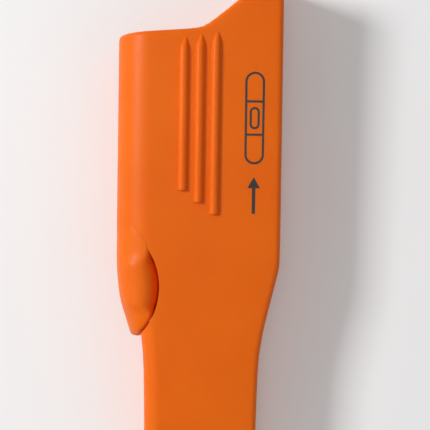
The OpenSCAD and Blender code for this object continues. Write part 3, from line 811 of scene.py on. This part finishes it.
@dataclass
class Windows:
    """Clear panes of the nose and of the vial."""

    edge: float = 0.25 * MM
    steps: int = 2
    crease: float = 40.0
    panes: dict[str, bpy.types.Object] = field(default_factory=dict)

    def build(self) -> None:
        """Copy the panes and round their edges."""
        for node in ("objective_window", "vial_window"):
            pane = Bench.copy_solid(node, f"{node}_pane")
            Bench.bevel(pane, self.edge, self.steps)
            Bench.smooth(pane, self.crease)
            self.panes[node] = pane

    def dress(self, finishes: Finishes) -> None:
        """Make the panes of clear plastic."""
        for node, pane in self.panes.items():
            wear(pane, finishes.pane, Slot.PANE, Body.HOUSING, node)


@dataclass
class Eyepiece:
    """Rubber cup, eye lens and the ring that holds it."""

    edge: float = 0.4 * MM
    steps: int = 3
    crease: float = 40.0
    cup: bpy.types.Object | None = None

    def build(self) -> None:
        """Copy the cup and round its edges."""
        self.cup = Bench.copy_solid("eyecup", "eyecup_moulding")
        Bench.bevel(self.cup, self.edge, self.steps)
        Bench.smooth(self.cup, self.crease)

    def dress(self, finishes: Finishes) -> None:
        """Make the cup of rubber, the lens clear and its ring black.

        Args:
            finishes: All finishes of the tool.
        """
        wear(self.cup, finishes.rubber, Slot.RUBBER, Body.HOUSING, "eyecup")
        refinish("eyepiece_lens", finishes.lens)
        refinish("lens_retainer", finishes.black)


@dataclass
class Fasteners:
    """Screws of the body and of the inner plates."""

    edge: float = 0.15 * MM
    steps: int = 2
    crease: float = 40.0
    screws: bpy.types.Object | None = None

    def build(self) -> None:
        """Copy the body screws and round their edges."""
        self.screws = Bench.copy_solid("body_screws", "body_screws_turned")
        Bench.bevel(self.screws, self.edge, self.steps)
        Bench.smooth(self.screws, self.crease)

    def dress(self, finishes: Finishes) -> None:
        """Make the screws of zinc-plated steel.

        Args:
            finishes: All finishes of the tool.
        """
        wear(self.screws, finishes.screw, Slot.SCREW, Body.HOUSING, "body_screws")
        for node in ("cradle_screws", "bracket_screw"):
            refinish(node, finishes.screw)


@dataclass
class VialUnit:
    """Vial with its liquid, bubble, plug and rings, in its cradle."""

    sides: int = 64
    edge: float = 0.4 * MM
    steps: int = 3
    crease: float = 40.0
    liquid: bpy.types.Object | None = None

    def build(self) -> None:
        """Make the liquid without the run of the bubble, so that the bubble alone shows in it."""
        points = [vert.co for vert in frame["nodes"]["vial_liquid"].data.vertices]
        low = Vector([min(point[axis] for point in points) for axis in range(3)])
        high = Vector([max(point[axis] for point in points) for axis in range(3)])
        radius = (high.z - low.z) / 2
        middle = (low + high) / 2
        Bench.put_down()
        bpy.ops.mesh.primitive_cylinder_add(
            vertices=self.sides, radius=radius, depth=high.y - low.y,
            location=(low.x + radius, middle.y, middle.z), rotation=(math.pi / 2, 0.0, 0.0))
        self.liquid = bpy.context.object
        self.liquid.name = "vial_liquid_fill"
        bpy.ops.object.transform_apply(location=True, rotation=True, scale=True)
        Bench.bevel(self.liquid, self.edge, self.steps)
        Bench.smooth(self.liquid, self.crease)

    def dress(self, finishes: Finishes) -> None:
        """Give the pieces of the vial their finishes.

        Args:
            finishes: All finishes of the tool.
        """
        wear(self.liquid, finishes.liquid, Slot.LIQUID, Body.HOUSING, "vial_liquid")
        for node, finish in (("vial_tube", finishes.vial), ("vial_bubble", finishes.bubble),
                             ("vial_plug", finishes.black), ("vial_rings", finishes.black),
                             ("vial_cradle", finishes.black)):
            refinish(node, finish)


@dataclass
class Sights:
    """Mirror on its bracket, hairline in its frame, and field stop."""

    def build(self) -> None:
        """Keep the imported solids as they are."""

    def dress(self, finishes: Finishes) -> None:
        """Give the sights their finishes.

        Args:
            finishes: All finishes of the tool.
        """
        for node, finish in (("mirror", finishes.mirror), ("mirror_bracket", finishes.black),
                             ("reticle_frame", finishes.black), ("hairline", finishes.hair),
                             ("field_stop", finishes.black)):
            refinish(node, finish)


@dataclass(frozen=True)
class Lamp:
    """Square soft lamp that looks at the tool: its place and side in metres, its power in watts."""

    name: str
    place: Triple
    size: float
    power: float

    def hang(self) -> None:
        """Hang the lamp at its place."""
        data = bpy.data.lights.new(self.name, "AREA")
        data.size = self.size
        data.energy = self.power
        lamp = bpy.data.objects.new(self.name, data)
        lamp.location = self.place
        lamp.rotation_euler = (-Vector(self.place)).to_track_quat("-Z", "Y").to_euler()
        bpy.context.scene.collection.objects.link(lamp)


@dataclass
class Studio:
    """Pale floor, soft lights and the camera of the photograph."""

    photo_px: float = 430.0
    px_per_mm: float = 3.2
    face_z: float = 30 * MM
    eye: float = 400 * MM
    aim: Pair = (5.4 * MM, 3.97 * MM)
    roll: float = 0.83
    sensor: float = 36.0
    near: float = 10 * MM
    sky: float = 0.33
    lift: float = 0.1
    floor_size: float = 8.0
    floor_drop: float = 0.05 * MM
    floor_blotch: float = 200 * MM
    floor_light: Colour = (0.81, 0.81, 0.81)
    floor_dark: Colour = (0.78, 0.78, 0.78)
    floor_rough: float = 0.8
    lamps: tuple[Lamp, ...] = (
        Lamp("key", (-0.90, 0.30, 0.80), 0.28, 11.8),
        Lamp("top", (-0.10, 0.10, 1.20), 0.28, 0.8),
        Lamp("fill", (1.10, -0.50, 1.20), 1.2, 2.0),
    )

    def build(self) -> None:
        """Set the floor, the world, the lamps and the camera."""
        self._floor()
        self._world()
        for lamp in self.lamps:
            lamp.hang()
        self._camera()
        view = bpy.context.scene.view_settings
        view.view_transform = "Standard"

    def _floor(self) -> None:
        """Lay a pale floor under the tool."""
        Bench.put_down()
        bpy.ops.mesh.primitive_plane_add(size=self.floor_size, location=(0, 0, -self.floor_drop))
        floor = bpy.context.object
        floor.name = "floor"
        sheet = ShaderSheet("floor_pale")
        blotch = sheet.noise(self.floor_blotch)
        sheet.feed("Base Color", sheet.tint(blotch, self.floor_dark, self.floor_light))
        sheet.set(Roughness=self.floor_rough, Emission_Color=(1.0, 1.0, 1.0, 1.0))
        sheet.feed("Emission Strength", self._seen(sheet.nodes, sheet.links, 0.0))
        floor.data.materials.append(sheet.material)

    def _world(self) -> None:
        """Light the scene from all round with an even pale sky."""
        world = bpy.data.worlds.new("studio")
        world.use_nodes = True
        tree = world.node_tree
        sky = tree.nodes["Background"]
        sky.inputs["Color"].default_value = (1.0, 1.0, 1.0, 1.0)
        tree.links.new(self._seen(tree.nodes, tree.links, self.sky), sky.inputs["Strength"])
        bpy.context.scene.world = world

    def _seen(self, nodes: bpy.types.Nodes, links: bpy.types.NodeLinks, base: float) -> Socket:
        """Strength of a backdrop that is paler to the eye than the light that it gives.

        Args:
            nodes: Nodes of the backdrop.
            links: Links of the backdrop.
            base: Strength of the light that it gives.

        Returns:
            The strength, with the lift added where it is seen, mirrored or through glass too.
        """
        path = nodes.new("ShaderNodeLightPath")
        seen = path.outputs["Is Camera Ray"]
        for ray in ("Is Glossy Ray", "Is Transmission Ray"):
            either = nodes.new("ShaderNodeMath")
            either.operation = "MAXIMUM"
            links.new(seen, either.inputs[0])
            links.new(path.outputs[ray], either.inputs[1])
            seen = either.outputs["Value"]
        lift = nodes.new("ShaderNodeMath")
        lift.operation = "MULTIPLY_ADD"
        lift.inputs[1].default_value = self.lift
        lift.inputs[2].default_value = base
        links.new(seen, lift.inputs[0])
        return lift.outputs["Value"]

    def _camera(self) -> None:
        """Stand the camera straight over the front, as in the photograph."""
        data = bpy.data.cameras.new("photo")
        data.sensor_fit = "HORIZONTAL"
        data.sensor_width = self.sensor
        span = self.photo_px / self.px_per_mm * MM
        data.lens = data.sensor_width * self.eye / span
        data.clip_start = self.near
        camera = bpy.data.objects.new("photo", data)
        camera.location = (*self.aim, self.face_z + self.eye)
        camera.rotation_euler = (0.0, 0.0, math.radians(self.roll))
        bpy.context.scene.collection.objects.link(camera)
        bpy.context.scene.camera = camera


def main() -> None:
    """Set the studio, build and dress every sub-assembly, and note the sizes."""
    logging.basicConfig(level=logging.INFO, format="%(name)s: %(message)s")
    finishes = Finishes.make()
    Studio().build()
    for assembly in (Housing(), BeltClip(), LevelMark(), Windows(), Eyepiece(), Fasteners(),
                     VialUnit(), Sights()):
        assembly.build()
        assembly.dress(finishes)


if __name__ == "__main__":
    main()
